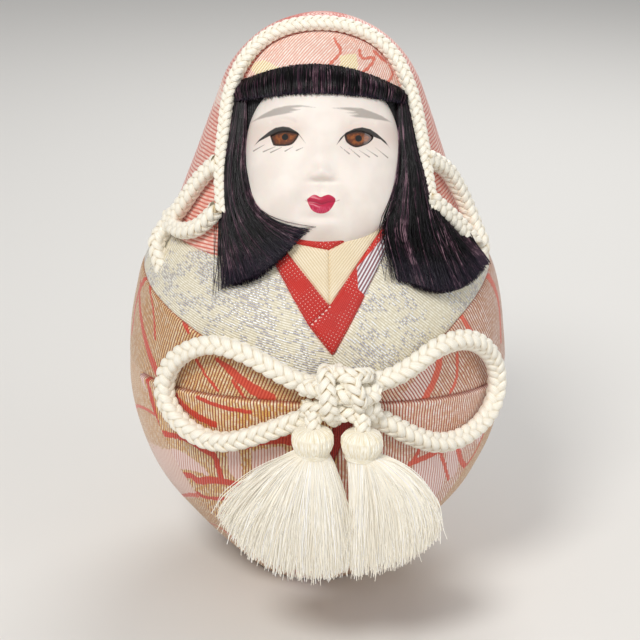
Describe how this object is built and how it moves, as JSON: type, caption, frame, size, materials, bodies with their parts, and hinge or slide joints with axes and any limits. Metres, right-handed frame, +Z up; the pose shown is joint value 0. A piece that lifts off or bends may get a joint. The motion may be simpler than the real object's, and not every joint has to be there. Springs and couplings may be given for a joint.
{
  "type": "daruma doll",
  "caption": "Roly-poly princess daruma doll with a cloth-covered weighted body, white face, hair, brocade hood, braided cord bow and swinging tassels.",
  "frame": {"origin": "centre of the round base, on the surface that the doll stands on", "axes": "+Z up through the head, the doll faces -Y, its picture-left side is -X"},
  "size_m": [0.1338, 0.1518, 0.2024],
  "materials": {
    "pressed_paper": "matte",
    "plug_wood": "bare",
    "ballast_iron": "rough",
    "base_felt": "felt",
    "face_white": "fine matte white shell paint",
    "eye_glass": "glossy, painted brown iris",
    "robe_brocade": "metallic gold brocade with coral outlines",
    "lining_red": "plain weave",
    "collar_red": "fine crepe with small white dots",
    "collar_cream": "fine ribbed silk",
    "sleeve_brocade": "gold ribbed brocade with coral lines",
    "chest_silver": "ivory crepe with silver thread",
    "hood_brocade": "pale pink brocade with coral lines",
    "band_brocade": "pale peach brocade with coral outlines",
    "hair_black": "silk thread",
    "back_gold": "plain gold weave",
    "cord_silk": "eight-strand braid",
    "pin_steel": "bright",
    "tassel_silk": "loose silk threads",
    "binding_thread": "wound thread"
  },
  "bodies": {
    "root": {"core_front_shell": "pressed_paper", "core_back_shell": "pressed_paper", "base_plug": "plug_wood", "ballast_weight": "ballast_iron", "base_cover": "base_felt", "face_mask": "face_white", "eye_left": "eye_glass", "eye_right": "eye_glass", "robe_front_left": "robe_brocade", "robe_front_right": "robe_brocade", "robe_lining": "lining_red", "red_collar_right": "collar_red", "red_collar_left": "collar_red", "inner_collar_left": "collar_cream", "inner_collar_right": "collar_cream", "under_collar": "collar_red", "sleeve_left": "sleeve_brocade", "sleeve_right": "sleeve_brocade", "chest_panel_left": "chest_silver", "chest_panel_right": "chest_silver", "hood": "hood_brocade", "forehead_band": "band_brocade", "hair_cap": "hair_black", "robe_back": "back_gold", "hair_bangs": "hair_black", "hair_lock_left": "hair_black", "hair_lock_right": "hair_black", "hood_cord": "cord_silk", "side_loop_left": "cord_silk", "side_loop_right": "cord_silk", "bow_anchor_pin": "pin_steel", "bow_loop_left": "cord_silk", "bow_loop_right": "cord_silk", "bow_knot": "cord_silk"},
    "left_bead": {"tassel_left_bead": "cord_silk"},
    "left_tassel": {"tassel_left_head": "tassel_silk", "tassel_left_binding": "binding_thread", "tassel_left_skirt": "tassel_silk"},
    "right_bead": {"tassel_right_bead": "cord_silk"},
    "right_tassel": {"tassel_right_head": "tassel_silk", "tassel_right_binding": "binding_thread", "tassel_right_skirt": "tassel_silk"}
  },
  "joints": [
    {"name": "left_tassel_lift", "type": "hinge", "parent": "root", "child": "left_bead", "pos_m": [-0.001, -0.079, 0.0854], "axis": [-1, 0, 0], "range_deg": [0, 60]},
    {"name": "left_tassel_sway", "type": "hinge", "parent": "left_bead", "child": "left_tassel", "pos_m": [-0.001, -0.079, 0.0854], "axis": [0, 1, 0], "range_deg": [0, 12]},
    {"name": "right_tassel_lift", "type": "hinge", "parent": "root", "child": "right_bead", "pos_m": [0.0145, -0.079, 0.0848], "axis": [-1, 0, 0], "range_deg": [0, 60]},
    {"name": "right_tassel_sway", "type": "hinge", "parent": "right_bead", "child": "right_tassel", "pos_m": [0.0145, -0.079, 0.0848], "axis": [0, -1, 0], "range_deg": [0, 12]}
  ]
}
